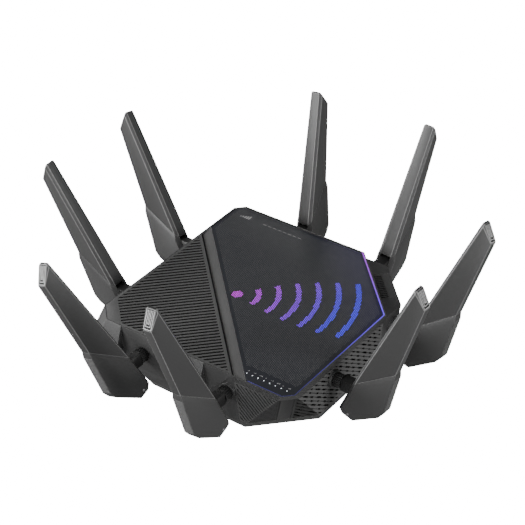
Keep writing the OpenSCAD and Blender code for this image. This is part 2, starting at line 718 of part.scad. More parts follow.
flute_n = 20;
flute_d = 0.7;
module collar(a) color(slate) at_hinge(a) difference() {
    translate([collar_x0, 0, 0]) rotate([0, 90, 0]) linear_extrude(knuckle_x0 - collar_x0 - 0.3)
        polygon([for (i = [0:4 * flute_n - 1]) let (r = collar_r - ((i % 4) > 1 ? flute_d : 0))
            r * [cos(i * 90 / flute_n), sin(i * 90 / flute_n)]]);
    along_x(-1, pin_out, spigot_r + fit_gap);
}

bottom_case();
top_cover();
ribbed_panel();
bevel_trim();
light_panel();
light_guide();
led_board();
led_matrix();
status_leds();
front_grille();
side_grille();
corner_strip();
corner_vent();
port_plate();
main_board();
heat_sink();
shield_cans();
chips();
ethernet_jacks();
usb_ports();
dc_jack();
feet();
case_screws();
board_pillars();
antenna_leads();
power_switch();
reset_button();
pairing_button();
for (a = ANTENNAS) {
    blade(a);
    skirt(a);
    knuckle(a);
    collar(a);
}
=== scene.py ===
"""Looks of a desktop wireless router: a faceted case with a smoked light panel, a ribbed vent
panel and eight folding antennas. Lengths in the tables are millimetres in the CAD frame."""
import json
import math

import bmesh
import bpy
import numpy as np
from mathutils import Matrix, Vector
from mathutils.bvhtree import BVHTree


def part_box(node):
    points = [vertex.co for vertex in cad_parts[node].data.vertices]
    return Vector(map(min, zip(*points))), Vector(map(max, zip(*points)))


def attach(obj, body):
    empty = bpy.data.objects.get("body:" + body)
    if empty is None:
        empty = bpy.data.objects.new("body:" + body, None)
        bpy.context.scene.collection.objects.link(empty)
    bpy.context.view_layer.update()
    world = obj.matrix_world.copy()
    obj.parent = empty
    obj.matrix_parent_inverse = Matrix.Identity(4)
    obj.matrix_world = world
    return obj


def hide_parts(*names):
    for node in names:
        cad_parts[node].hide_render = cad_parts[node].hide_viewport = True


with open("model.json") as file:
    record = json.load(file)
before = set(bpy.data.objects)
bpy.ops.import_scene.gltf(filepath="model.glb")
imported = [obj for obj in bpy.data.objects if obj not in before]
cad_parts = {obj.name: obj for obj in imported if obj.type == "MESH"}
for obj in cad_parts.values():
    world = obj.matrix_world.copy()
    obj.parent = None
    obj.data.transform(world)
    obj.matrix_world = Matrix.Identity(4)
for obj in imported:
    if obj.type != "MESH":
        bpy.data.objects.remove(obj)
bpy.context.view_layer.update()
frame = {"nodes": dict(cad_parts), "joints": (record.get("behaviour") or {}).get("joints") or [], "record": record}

MM = 0.001
NODES = frame["nodes"]
BODY_OF = {n: b for b, ns in frame["record"]["behaviour"]["bodies"].items() for n in ns}
scene = bpy.context.scene


# ---------------------------------------------------------------- camera, lights and floor

CAMERA_AT = Vector((0.8774, -1.1431, 1.1231))
CAMERA_TURN = math.radians(37.48)
CAMERA_DOWN = math.radians(35.05)
CAMERA_ROLL = math.radians(-1.69)
CAMERA_LENS = 122.1


def make_camera():
    """A long lens that looks down on the front corner, with a slight roll."""
    back = Vector((math.cos(CAMERA_DOWN) * math.sin(CAMERA_TURN),
                   -math.cos(CAMERA_DOWN) * math.cos(CAMERA_TURN), math.sin(CAMERA_DOWN)))
    level = Vector((math.cos(CAMERA_TURN), math.sin(CAMERA_TURN), 0))
    up = back.cross(level)
    right = level * math.cos(CAMERA_ROLL) + up * math.sin(CAMERA_ROLL)
    up = back.cross(right)
    data = bpy.data.cameras.new("camera")
    data.lens = CAMERA_LENS
    data.clip_end = 20
    camera = bpy.data.objects.new("camera", data)
    camera.matrix_world = Matrix.Translation(CAMERA_AT) @ Matrix((right, up, back)).transposed().to_4x4()
    scene.collection.objects.link(camera)
    scene.camera = camera


def area_light(name, at, size, power, aim=(0, 0, 0.05), mirrored=True):
    data = bpy.data.lights.new(name, "AREA")
    data.shape = "RECTANGLE"
    data.size, data.size_y = size
    data.energy = power
    light = bpy.data.objects.new(name, data)
    light.location = at
    light.rotation_euler = (Vector(aim) - Vector(at)).to_track_quat("-Z", "Y").to_euler()
    light.visible_glossy = mirrored
    scene.collection.objects.link(light)


def make_studio():
    area_light("left_softbox", (-1.6, -1.0, 0.7), (1.5, 1.0), 100)
    area_light("front_softbox", (0.3, -2.2, 0.7), (1.6, 1.0), 42)
    area_light("right_softbox", (1.8, -0.1, 0.6), (0.8, 0.9), 36)
    area_light("back_softbox", (-0.9, 2.2, 0.35), (1.6, 0.6), 24, mirrored=False)
    world = bpy.data.worlds.new("studio")
    world.use_nodes = True
    world.node_tree.nodes["Background"].inputs["Color"].default_value = (1, 1, 1, 1)
    world.node_tree.nodes["Background"].inputs["Strength"].default_value = 0.4
    scene.world = world


# ---------------------------------------------------------------- materials

class Value:
    """A number that varies over a surface. Arithmetic on it adds Math nodes."""

    def __init__(self, finish, socket):
        self.finish = finish
        self.socket = socket

    def _join(self, operation, a, b=0.0):
        return self.finish.node("ShaderNodeMath", {"operation": operation}, {0: a, 1: b})

    def __add__(self, other): return self._join("ADD", self, other)
    def __radd__(self, other): return self._join("ADD", other, self)
    def __sub__(self, other): return self._join("SUBTRACT", self, other)
    def __rsub__(self, other): return self._join("SUBTRACT", other, self)
    def __mul__(self, other): return self._join("MULTIPLY", self, other)
    def __rmul__(self, other): return self._join("MULTIPLY", other, self)
    def __lt__(self, other): return self._join("LESS_THAN", self, other)
    def __gt__(self, other): return self._join("GREATER_THAN", self, other)
    def wave(self): return self._join("SINE", self)


class Finish:
    """A material that is built up by adding nodes."""

    def __init__(self, name, **constants):
        self.material = bpy.data.materials.new(name)
        self.material.use_nodes = True
        self.tree = self.material.node_tree
        self.shader = self.tree.nodes["Principled BSDF"]
        for key, value in constants.items():
            self.shader.inputs[key.replace("_", " ")].default_value = value
        self.place = self.node("ShaderNodeTexCoord", output="Object")

    def node(self, kind, settings=None, sockets=None, output=0):
        """Adds a node: first its settings, then the values or links of its sockets."""
        node = self.tree.nodes.new(kind)
        for key, value in (settings or {}).items():
            if key == "stops":
                for place, colour in value[1:-1]:
                    node.color_ramp.elements.new(place)
                for element, (place, colour) in zip(node.color_ramp.elements, value):
                    element.position, element.color = place, colour
            else:
                setattr(node, key, value)
        for key, value in (sockets or {}).items():
            if isinstance(value, Value):
                self.tree.links.new(value.socket, node.inputs[key])
            else:
                node.inputs[key].default_value = value
        return Value(self, node.outputs[output])

    def set(self, name, value):
        self.tree.links.new(value.socket, self.shader.inputs[name])

    def noise(self, per_metre, detail=2.0, roughness=0.5):
        return self.node("ShaderNodeTexNoise", None,
                         {"Vector": self.place, "Scale": per_metre, "Detail": detail, "Roughness": roughness})

    def axis(self, turn=0.0):
        """The x, y and z of a point, after a turn about Z."""
        turned = self.node("ShaderNodeMapping", None, {"Vector": self.place, "Rotation": (0, 0, turn)})
        split = self.tree.nodes.new("ShaderNodeSeparateXYZ")
        self.tree.links.new(turned.socket, split.inputs[0])
        return [Value(self, o) for o in split.outputs]

    def blend(self, factor, dark, light):
        """A colour between two colours, or between a Value and a colour."""
        return self.node("ShaderNodeMix", {"data_type": "RGBA"}, {0: factor, 6: dark, 7: light}, output=2)

    def bump(self, height, depth_mm, strength=1.0):
        self.set("Normal", self.node("ShaderNodeBump", None,
                                     {"Height": height, "Distance": depth_mm * MM, "Strength": strength}))


def grey(level):
    return (level, level, level, 1)


def below_top(f):
    """Depth under the case's flat top, which sets the painted shade in the ribs' gaps."""
    return CASE_TOP * MM - f.axis()[2]


def behind_right(f):
    """Depth behind the sloping right side, whose half width grows evenly with height; it sets the painted shade in
    the side slots.
    """
    x, _, z = f.axis()
    return (z - JOINT_Z * MM) * SIDE_SLOPE + BASE_HALF * MM - x


def behind_front(f):
    """Depth behind the sloping front side, which sets the painted shade in the front slots."""
    _, y, z = f.axis()
    return (z - JOINT_Z * MM) * SIDE_SLOPE + BASE_HALF * MM + y


def moulded(name, level, rough, grain_mm=0.5, depth_mm=0.03, depth=None):
    """Moulded plastic: a spark-eroded grain with faint cloudy changes of shade and gloss.
    With a depth function, what lies deeper than a small step is painted near black: painted shade inside slots and
    gaps."""
    f = Finish(name, Specular_IOR_Level=0.3)
    clouds = f.noise(14.0, 3.0)
    grain = f.noise(1.0 / (grain_mm * MM), 2.0, 0.6)
    speck = f.noise(2.6 / (grain_mm * MM), 1.0)
    colour = f.blend(clouds * 0.6 + grain * 0.4, grey(level * 0.82), grey(level * 1.18))
    # painted shade: near black where the surface lies deeper than the step
    if depth:
        colour = f.blend(depth(f) > SLOT_STEP * MM, colour, grey(0.002))
    f.set("Base Color", colour)
    f.set("Roughness", rough - 0.07 + clouds * 0.1 + speck * 0.06)
    f.bump(grain + speck * 0.4, depth_mm)
    return f.material


def smoked_panel():
    """Dark glossy panel over a faint grey cast; beside the edge light its colour shifts to blue and violet, a
    painted glow of that light.
    """
    f = Finish("smoked_panel", Roughness=0.3, Specular_IOR_Level=0.25)
    across, down, _ = f.axis(math.radians(-45))
    clouds = f.noise(9.0, 2.0)
    base = f.blend(clouds, (0.011, 0.012, 0.014, 1), (0.014, 0.015, 0.019, 1))
    # painted glow: blue-violet tint on the panel near the edge light
    edge = f.node("ShaderNodeMapRange", {"interpolation_type": "SMOOTHSTEP"},
                  {"Value": across, "From Min": 0.055, "From Max": 0.118})
    f.set("Base Color", f.blend(edge * 0.75, base, (0.012, 0.010, 0.040, 1)))
    f.set("Roughness", 0.27 + f.noise(40.0, 3.0) * 0.1)
    turn = 2 * math.pi / MM
    weave = (across * (turn / DOT_ACROSS)).wave() * (down * (turn / DOT_DOWN)).wave()
    f.bump(weave, 0.02)
    return f.material


def glowing(name, strength, stops, span, turn):
    """Light that shades through several colours along an axis turned about Z, over a span in mm."""
    f = Finish(name, Roughness=0.4, Emission_Strength=strength)
    across, _, _ = f.axis(math.radians(turn))
    factor = f.node("ShaderNodeMapRange", None,
                    {"Value": across, "From Min": span[0] * MM, "From Max": span[1] * MM})
    colour = f.node("ShaderNodeValToRGB", {"stops": stops}, {0: factor})
    f.set("Base Color", f.blend(f.noise(60.0) * 0.05, colour, (0.5, 0.5, 0.5, 1)))
    f.set("Emission Color", colour)
    return f.material


def plain_light(name, strength, colour):
    return glowing(name, strength, [(0.0, colour), (1.0, colour)], (0, 1), 0.0)


def metal(name, colour, rough, streak_axis=None, scale=400.0):
    """Bare metal with fine streaks or a fine blasted grain."""
    f = Finish(name, Metallic=1.0)
    if streak_axis is None:
        streaks = f.noise(scale * 4, 3.0)
    else:
        stretch = [1.0, 1.0, 1.0]
        stretch[streak_axis] = 0.03
        stretched = f.node("ShaderNodeMapping", None, {"Vector": f.place, "Scale": stretch})
        streaks = f.node("ShaderNodeTexNoise", None, {"Vector": stretched, "Scale": scale * 4, "Detail": 3.0})
    dull = [c * 0.82 for c in colour[:3]] + [1]
    f.set("Base Color", f.blend(streaks, dull, colour))
    f.set("Roughness", rough - 0.06 + streaks * 0.14)
    f.bump(streaks, 0.01)
    return f.material


def circuit_board():
    """Green solder mask with copper tracks that show through as lighter lines."""
    f = Finish("circuit_board", Roughness=0.35, Coat_Weight=0.3)
    x, y, _ = f.axis()
    tracks = ((x + f.noise(30.0) * 0.01) * 2400.0).wave() * ((y + f.noise(45.0) * 0.01) * 1900.0).wave()
    f.set("Base Color", f.blend(tracks > 0.35, (0.008, 0.05, 0.03, 1), (0.02, 0.11, 0.06, 1)))
    f.bump(tracks, 0.03)
    return f.material


DOT_ACROSS = 1.9          # spacing of the panel's dots along the ribs' direction
DOT_DOWN = 3.0            # spacing of the panel's rows along the seam

# The case's flat top and sloping sides, from the CAD source
CASE_TOP = 72.5
JOINT_Z = 12.0
BASE_HALF = 113.5
SIDE_SLOPE = (120.0 - BASE_HALF) / (CASE_TOP - JOINT_Z)
# depth in mm past which slots and gaps are painted near black, as painted shade
SLOT_STEP = 0.45

CASE_PLASTIC = moulded("case_plastic", 0.026, 0.5)
DARK_PLASTIC = moulded("dark_plastic", 0.030, 0.5)
# the slats below carry painted shade, near black in their slots
SIDE_SLATS = moulded("side_slats", 0.055, 0.5, depth=behind_right)
FRONT_SLATS = moulded("front_slats", 0.040, 0.5, depth=behind_front)
TRIM_PLASTIC = moulded("trim_plastic", 0.055, 0.45)
SKIRT_RIBS = moulded("skirt_rib_plastic", 0.075, 0.45)
TIP_PLATE = moulded("tip_plate_plastic", 0.010, 0.8)
# the ribs carry painted shade, near black in the gaps between them
RIB_PLASTIC = moulded("rib_plastic", 0.050, 0.45, grain_mm=0.4, depth=below_top)
# lighter finish for bevels only: a painted highlight along the edges
PAINTED_EDGE_HIGHLIGHT = moulded("painted_edge_highlight", 0.13, 0.38, grain_mm=0.3, depth_mm=0.01)
ANTENNA_PLASTIC = moulded("antenna_plastic", 0.030, 0.48)
SKIRT_PLASTIC = moulded("skirt_plastic", 0.030, 0.5)
HINGE_PLASTIC = moulded("hinge_plastic", 0.009, 0.45, grain_mm=0.35, depth_mm=0.015)
FOOT_RUBBER = moulded("foot_rubber", 0.015, 0.8, grain_mm=0.8, depth_mm=0.05)
CHIP_PLASTIC = moulded("chip_plastic", 0.018, 0.6, grain_mm=0.3)
SMOKED_PANEL = smoked_panel()
PANEL_DOT = moulded("panel_dot", 0.10, 0.4, grain_mm=2.0)
SIGNAL_LIGHT = glowing("signal_light", 0.8,
                       [(0.0, (0.75, 0.03, 0.88, 1)), (0.5, (0.32, 0.05, 0.90, 1)),
                        (1.0, (0.06, 0.05, 0.92, 1))],
                       (-32, 80), -10.0)
EDGE_LIGHT = glowing("edge_light", 0.5,
                     [(0.0, (0.36, 0.04, 0.62, 1)), (0.45, (0.12, 0.05, 0.80, 1)),
                      (0.8, (0.015, 0.01, 0.12, 1)), (1.0, (0.006, 0.005, 0.05, 1))], (-55, 165), 45.0)
STATUS_LIGHT = plain_light("status_light", 1.0, (0.9, 0.95, 1, 1))
PRINT_INK = moulded("print_ink", 0.25, 0.5, grain_mm=0.6)
SILVER_INK = moulded("silver_ink", 0.45, 0.45, grain_mm=0.3, depth_mm=0.005)
SINK_METAL = metal("sink_metal", (0.62, 0.63, 0.65, 1), 0.4, streak_axis=1)
SOCKET_STEEL = metal("socket_steel", (0.58, 0.57, 0.56, 1), 0.3)
SCREW_STEEL = metal("screw_steel", (0.35, 0.35, 0.36, 1), 0.35)
PILLAR_BRASS = metal("pillar_brass", (0.72, 0.52, 0.24, 1), 0.3)
CONTACT_GOLD = metal("contact_gold", (0.85, 0.62, 0.25, 1), 0.22)
BOARD = circuit_board()


# ---------------------------------------------------------------- making pieces

def piece(name, points_mm, faces, material, body, slot, smooth=False):
    """A new piece from an array of points in millimetres and a list or array of faces."""
    mesh = bpy.data.meshes.new(name)
    faces = faces.tolist() if isinstance(faces, np.ndarray) else faces
    mesh.from_pydata((np.asarray(points_mm, float) * MM).tolist(), [], faces)
    mesh.validate()
    mesh.update()
    mesh.materials.append(material)
    mesh.polygons.foreach_set("use_smooth", np.full(len(mesh.polygons), smooth))
    obj = bpy.data.objects.new(name, mesh)
    scene.collection.objects.link(obj)
    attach(obj, body)
    return obj


def soften(obj, width_mm, segments=2, angle=28.0):
    """Rounds a piece's edges, as a mould does."""
    bevel = obj.modifiers.new("soft_edges", "BEVEL")
    bevel.width = width_mm * MM
    bevel.segments = segments
    bevel.limit_method = "ANGLE"
    bevel.angle_limit = math.radians(angle)
    bevel.harden_normals = True
    return obj


def dressed(node, material, edge_mm, angle=28.0, bevel_highlight=False):
    """A copy of a CAD node as one clean shell with softened edges, which stands for the node.
    The bevel alone can get a lighter finish: a painted highlight along the edges."""
    mesh = NODES[node].data.copy()
    mesh.name = node + "_skin"
    shell = bmesh.new()
    shell.from_mesh(mesh)
    bmesh.ops.remove_doubles(shell, verts=shell.verts, dist=0.01 * MM)
    bmesh.ops.dissolve_limit(shell, angle_limit=math.radians(1.0), verts=shell.verts, edges=shell.edges)
    shell.to_mesh(mesh)
    shell.free()
    mesh.materials.clear()
    mesh.materials.append(material)
    mesh.polygons.foreach_set("use_smooth", np.full(len(mesh.polygons), True))
    obj = bpy.data.objects.new(node + "_skin", mesh)
    scene.collection.objects.link(obj)
    soften(obj, edge_mm, angle=angle)
    # painted highlight: the bevel faces get the lighter finish
    if bevel_highlight:
        mesh.materials.append(PAINTED_EDGE_HIGHLIGHT)
        obj.modifiers["soft_edges"].material = 1
    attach(obj, BODY_OF[node])
    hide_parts(node)
    return obj


def stack(shapes):
    """Several (points, faces) shapes as one: each shape's faces are moved past the points before it."""
    points, faces, start = [], [], 0
    for p, f in shapes:
        points.append(np.asarray(p, float))
        faces += [[i + start for i in face] for face in f]
        start += len(p)
    return np.vstack(points), faces


def prism(outline, height, at=(0, 0, 0), x=(1, 0, 0), y=(0, 1, 0)):
    """An outline in the plane of x and y, carried along their cross product by a height."""
    outline = np.asarray(outline, float)
    x, y, at = (np.asarray(v, float) for v in (x, y, at))
    z = np.cross(x, y)
    n = len(outline)
    low = at + outline[:, :1] * x + outline[:, 1:2] * y
    side = [[i, (i + 1) % n, n + (i + 1) % n, n + i] for i in range(n)]
    return np.vstack([low, low + height * z]), [list(range(n))[::-1], list(range(n, 2 * n))] + side


def grid_faces(nu, nv, wrap_u=False, wrap_v=False):
    """Quads over a grid of nu by nv points, numbered v fastest."""
    u, v = np.meshgrid(np.arange(nu - (not wrap_u)), np.arange(nv - (not wrap_v)), indexing="ij")
    u, v = u.ravel(), v.ravel()
    u1, v1 = (u + 1) % nu, (v + 1) % nv
    return np.stack([u * nv + v, u1 * nv + v, u1 * nv + v1, u * nv + v1], 1)


def ring(radius, n, phase=0.0):
    """n points on a circle."""
    t = np.arange(n) * 2 * math.pi / n + phase
    return np.stack([radius * np.cos(t), radius * np.sin(t)], 1)


def discs(centres, radius, height, sides, x, y):
    """Short prisms on many centres, made as whole arrays: each point is its centre plus its
    place on a circle, and the upper ring is a height further along the normal."""
    x, y = np.asarray(x, float), np.asarray(y, float)
    circle = ring(radius, sides, math.pi / sides)
    rim = circle[:, :1] * x + circle[:, 1:] * y
    low = centres[:, None, :] + rim[None]
    both = np.concatenate([low, low + height * np.cross(x, y)], 1).reshape(-1, 3)
    start = np.arange(len(centres))[:, None] * 2 * sides
    top = start + sides + np.arange(sides)[None]
    i = np.arange(sides)
    wall = np.stack([i, (i + 1) % sides, sides + (i + 1) % sides, sides + i], 1)
    walls = (start[:, :, None] + wall[None]).reshape(-1, 4)
    return both, top.tolist() + walls.tolist() + (start + np.arange(sides)[None, ::-1]).tolist()


class Surface:
    """Finds where a line meets a CAD node, in millimetres."""

    def __init__(self, node):
        mesh = NODES[node].data
        self.tree = BVHTree.FromPolygons([v.co.copy() for v in mesh.vertices],
                                         [tuple(p.vertices) for p in mesh.polygons])

    def hit(self, start_mm, direction):
        place, normal, _, _ = self.tree.ray_cast(Vector(start_mm) * MM, Vector(direction).normalized())
        return (np.array(place) / MM, np.array(normal)) if place else (None, None)


# ---------------------------------------------------------------- antennas

# Side view of an antenna from its tilt pin, as in the CAD source
SLOPE_OUT = np.array([43.8, 30.0])
TIP_IN = np.array([62.1, 137.0])
TIP_OUT = np.array([64.5, 136.4])
TIP_LOW = np.array([73.4, 117.9])
HEEL_OUT = np.array([32.5, -13.2])
EDGE_HALF = 5.0
TILT_OUT_MAX = 13.0       # outward end of the tilt, from the mean lean
SCREW_AT = np.array([-6.0, -27.5])
SCREW_R = 1.35


class Antenna:
    """The directions and places of one antenna at rest, from its joints."""

    def __init__(self, side):
        joints = {j["name"]: j for j in frame["joints"]}
        tilt = joints["tilt_" + side]
        self.side = side
        self.body = "antenna_" + side
        self.pin = np.array(tilt["pos_m"]) / MM
        self.y = np.array(tilt["axis"])
        out = np.array(joints["collar_" + side]["axis"])
        up = np.cross(out, self.y)
        lean = math.radians(TILT_OUT_MAX - tilt["range_deg"][1])
        self.x = out * math.cos(lean) - up * math.sin(lean)
        self.z = out * math.sin(lean) + up * math.cos(lean)

    def point(self, x, y, z):
        return self.pin + x * self.x + y * self.y + z * self.z

    def direction(self, v):
        return v[0] * self.x + v[1] * self.z


def skirt_ribs(a):
    """Fine cross ribs on the skirt's outer edge: a row of shallow trapezoid prisms."""
    along = HEEL_OUT - SLOPE_OUT
    length = np.linalg.norm(along)
    along = along / length
    out = a.direction(np.array([-along[1], along[0]]))
    pitch, height, half = 1.6, 0.6, EDGE_HALF + 0.5
    shapes = []
    for s in np.arange(0.8, length - 1.4, pitch):
        base = SLOPE_OUT + along * s
        at = a.point(base[0], half, base[1]) - 0.1 * out
        outline = [[0, 0], [pitch * 0.56, 0], [pitch * 0.46, height], [pitch * 0.1, height]]
        shapes.append(prism(outline, 2 * half, at, a.direction(along), out))
    points, faces = stack(shapes)
    return piece("skirt_ribs_" + a.side, points, faces, SKIRT_RIBS, a.body, "coal")


def tip_mark(a):
    """Nested open frames in silver on a dark plate, on the sloping face at the tip."""
    down = TIP_LOW - TIP_OUT
    length = np.linalg.norm(down)
    down = down / length
    x = a.y
    y = a.direction(down)
    out = np.cross(x, y)
    if out @ a.x < 0:
        x, out = -x, -out
    line = 0.5
    base = a.point(TIP_OUT[0], 0, TIP_OUT[1]) - 0.05 * out
    half = EDGE_HALF - 0.35
    plate = prism([[-half, 1.0], [half, 1.0], [half, length - 0.5], [-half, length - 0.5]], 0.12, base, x, y)
    piece("tip_plate_" + a.side, *plate, TIP_PLATE, a.body, "coal")
    shapes = []
    for k in range(3):
        w = EDGE_HALF - 0.6 - 1.7 * k
        end = length - 1.0 - 2.6 * k
        for arm in (-1, 1):
            inner, outer = sorted((arm * w, arm * (w - line)))
            shapes.append(prism([[inner, 1.6], [outer, 1.6], [outer, end], [inner, end]], 0.22, base, x, y))
        shapes.append(prism([[line - w, end - line], [w - line, end - line], [w - line, end],
                             [line - w, end]], 0.22, base, x, y))
    points, faces = stack(shapes)
    return piece("tip_mark_" + a.side, points, faces, SILVER_INK, a.body, "shell")


def tip_cap(a):
    """Small dark cap that closes the tip."""
    across = TIP_OUT - TIP_IN
    length = np.linalg.norm(across)
    x, y = a.direction(across / length), a.y
    if np.cross(x, y) @ a.z < 0:
        y = -y
    outline = [[0.15, -4.6], [length - 0.1, -4.6], [length - 0.1, 4.6], [0.15, 4.6]]
    points, faces = prism(outline, 0.35, a.point(TIP_IN[0], 0, TIP_IN[1]) - 0.05 * np.cross(x, y), x, y)
    return soften(piece("tip_cap_" + a.side, points, faces, HINGE_PLASTIC, a.body, "coal"), 0.12)


def skirt_screws(a):
    """A low domed screw head on each side of the skirt."""
    surface = Surface("skirt_" + a.side)
    shapes = []
    for sign in (-1, 1):
        place, normal = surface.hit(a.point(SCREW_AT[0], sign * 40, SCREW_AT[1]), -sign * a.y)
        if place is None:
            continue
        x = np.cross(normal, a.z)
        x /= np.linalg.norm(x)
        y = np.cross(normal, x)
        shapes.append(screw_head(place, x, y, normal, ring(SCREW_R, 24)))
    points, faces = stack(shapes)
    return piece("skirt_screws_" + a.side, points, faces, SCREW_STEEL, a.body, "shell")


def screw_head(place, x, y, normal, rim):
    """A low dome over a rim of points: rings at shrinking radius rise by a circle's height."""
    steps = np.array([1.0, 0.97, 0.8, 0.5, 0.12])
    rise = 0.32 * np.sqrt(np.clip(1 - steps ** 4, 0, 1)) - 0.05
    points = place + (steps[:, None, None] * (rim[None, :, :1] * x + rim[None, :, 1:] * y)
                      + rise[:, None, None] * normal).reshape(-1, 3)
    n = len(rim)
    faces = grid_faces(len(steps), n, wrap_v=True).tolist()
    return points, faces + [list(range((len(steps) - 1) * n, len(steps) * n)), list(range(n))[::-1]]


def make_antennas():
    sides = [n[len("blade_"):] for n in NODES if n.startswith("blade_")]
    for side in sorted(sides):
        a = Antenna(side)
        dressed("blade_" + side, ANTENNA_PLASTIC, 0.45, bevel_highlight=True)
        dressed("skirt_" + side, SKIRT_PLASTIC, 0.4, bevel_highlight=True)
        dressed("knuckle_" + side, HINGE_PLASTIC, 0.5)
        dressed("collar_" + side, HINGE_PLASTIC, 0.15, angle=20.0)
        skirt_ribs(a)
        tip_mark(a)
        tip_cap(a)
        skirt_screws(a)


# ---------------------------------------------------------------- light panel

ALONG_RIBS = np.array([1, 1, 0]) / math.sqrt(2)
ALONG_SEAM = np.array([1, -1, 0]) / math.sqrt(2)
SIGNAL_FROM = np.array([-25.0, -6.0])      # where the ripples start: along the ribs, along the seam
SIGNAL_AIM = math.radians(24)
SIGNAL_SPREAD = math.radians(33)
SIGNAL_RADII = (22, 42, 62, 82, 102, 122)
SIGNAL_HALF = 2.7
DOTS_FROM = -31.5         # where the dots start, along the ribs
STATUS_COUNT = 8
STATUS_PITCH = 6.7
STATUS_FIRST = np.array([62.0, -109.2])
MARK_AT = np.array([-105.0, 101.0, 72.48])


def panel_grid():
    """Every dot of the panel: rows along the ribs' direction, each second row moved by half a step,
    kept where they lie inside the panel's outline."""
    high = np.array(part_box("light_panel")[1]) / MM
    n_down = int(340 / DOT_DOWN)
    n_across = int(190 / DOT_ACROSS)
    j, i = np.meshgrid(np.arange(-n_down, n_down), np.arange(-n_across, n_across), indexing="ij")
    across = ((i + 0.5 * (j % 2)) * DOT_ACROSS).ravel()
    down = (j * DOT_DOWN / 2).ravel()
    spot = across[:, None] * ALONG_RIBS[:2] + down[:, None] * ALONG_SEAM[:2]
    inset = 4.0
    inside = (np.abs(spot) < high[0] - inset).all(1)
    inside &= (across > DOTS_FROM) & (across < 160 / math.sqrt(2) - inset)
    inside &= np.abs(down) < (240 - 9.5) / math.sqrt(2) - inset
    keep_clear = (spot[:, 0] > 56) & (spot[:, 1] < -99)
    inside &= ~keep_clear
    return across[inside], down[inside], spot[inside]


def in_signal(across, down):
    """True for the dots of the ripple sign: rings about one point within a wedge, and a round foot."""
    reach = np.hypot(across - SIGNAL_FROM[0], down - SIGNAL_FROM[1])
    turn = np.arctan2(down - SIGNAL_FROM[1], across - SIGNAL_FROM[0]) - SIGNAL_AIM
    lit = reach < 6.0
    for radius in SIGNAL_RADII:
        spread = SIGNAL_SPREAD * (1.15 - radius / 250)
        lit |= (np.abs(reach - radius) < SIGNAL_HALF) & (np.abs(turn) < spread)
    return lit


def printed_bar(width, length, corner):
    """A thin printed bar on the panel, from its lower left corner."""
    return prism([[0, 0], [width, 0], [width, length], [0, length]], 0.06, corner)


def make_light_panel():
    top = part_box("light_panel")[1].z / MM
    dressed("light_panel", SMOKED_PANEL, 0.35)
    across, down, spot = panel_grid()
    lit = in_signal(across, down)
    centres = np.column_stack([spot, np.full(len(spot), top - 0.02)])
    body = BODY_OF["light_panel"]
    points, faces = discs(centres[~lit], 0.42, 0.05, 4, (1, 0, 0), (0, 1, 0))
    piece("panel_dots", points, faces, PANEL_DOT, body, "smoked")
    points, faces = discs(centres[lit], 0.56, 0.07, 6, (1, 0, 0), (0, 1, 0))
    piece("signal_dots", points, faces, SIGNAL_LIGHT, body, "led")
    status = np.array([[STATUS_FIRST[0] + STATUS_PITCH * i, STATUS_FIRST[1], top - 0.02]
                       for i in range(STATUS_COUNT)])
    points, faces = discs(status, 0.5, 0.12, 20, (1, 0, 0), (0, 1, 0))
    piece("status_dots", points, faces, STATUS_LIGHT, body, "led")
    icons = []
    for i, at in enumerate(status):
        for k in range(2 + i % 3):
            icons.append(printed_bar(0.45, 0.6 + 0.35 * k, at + np.array([-1.2 + 0.9 * k, 3.8, 0])))
    points, faces = stack(icons)
    piece("status_icons", points, faces, PRINT_INK, body, "smoked")
    marks = [printed_bar(1.5, 1.6 + 1.1 * k, MARK_AT + np.array([2.6 * k, 0, 0])) for k in range(5)]
    marks += [printed_bar(4.2, 0.6, MARK_AT + np.array([30 + 6.4 * k, 1.2, 0])) for k in range(8)]
    points, faces = stack(marks)
    piece("panel_mark", points, faces, PRINT_INK, body, "smoked")


# ---------------------------------------------------------------- case

def make_case():
    dressed("top_cover", CASE_PLASTIC, 0.4, bevel_highlight=True)
    dressed("bottom_case", CASE_PLASTIC, 0.5)
    dressed("ribbed_panel", RIB_PLASTIC, 0.25)
    dressed("bevel_trim", TRIM_PLASTIC, 0.4, bevel_highlight=True)
    dressed("front_grille", FRONT_SLATS, 0.15)
    dressed("side_grille", SIDE_SLATS, 0.15)
    dressed("corner_strip", HINGE_PLASTIC, 0.25)
    dressed("corner_vent", DARK_PLASTIC, 0.3)
    dressed("port_plate", DARK_PLASTIC, 0.25)
    dressed("feet", FOOT_RUBBER, 0.6)
    dressed("ethernet_jacks", SOCKET_STEEL, 0.25)
    dressed("usb_ports", SOCKET_STEEL, 0.2)
    dressed("dc_jack", HINGE_PLASTIC, 0.3)


# Places on the socket side, from the CAD source
SOCKET_FACE = 112.0
JACK_X = (64, 47, 30, 13, -4)
JACK_BOTTOM = 16.6
JACK_DEPTH = 21.0
JACK_BACK_WALL = 5
JACK_CONTACTS = 8
CONTACT_PITCH = 1.02
CONTACT_HALF = 0.2
LINK_LIGHT_OFF = 6.2       # from a jack's middle
USB_X = (-22.5, -38)
USB_TONGUE_Y = 96.5
USB_TONGUE_TOP = 21.2
USB_CONTACTS = 4
INLET = np.array([-70.0, SOCKET_FACE, 24.0])
RING_STEPS = 40
INK_PROUD = 0.06
LIGHT_GREEN = plain_light("link_light_green", 0.5, (0.1, 0.7, 0.15, 1))
LIGHT_AMBER = plain_light("link_light_amber", 0.4, (0.9, 0.4, 0.05, 1))


def block(low, high):
    """A box between two corners, as a prism along Z."""
    x0, y0, z0 = low
    x1, y1, z1 = high
    return prism([[x0, y0], [x1, y0], [x1, y1], [x0, y1]], z1 - z0, (0, 0, z0))


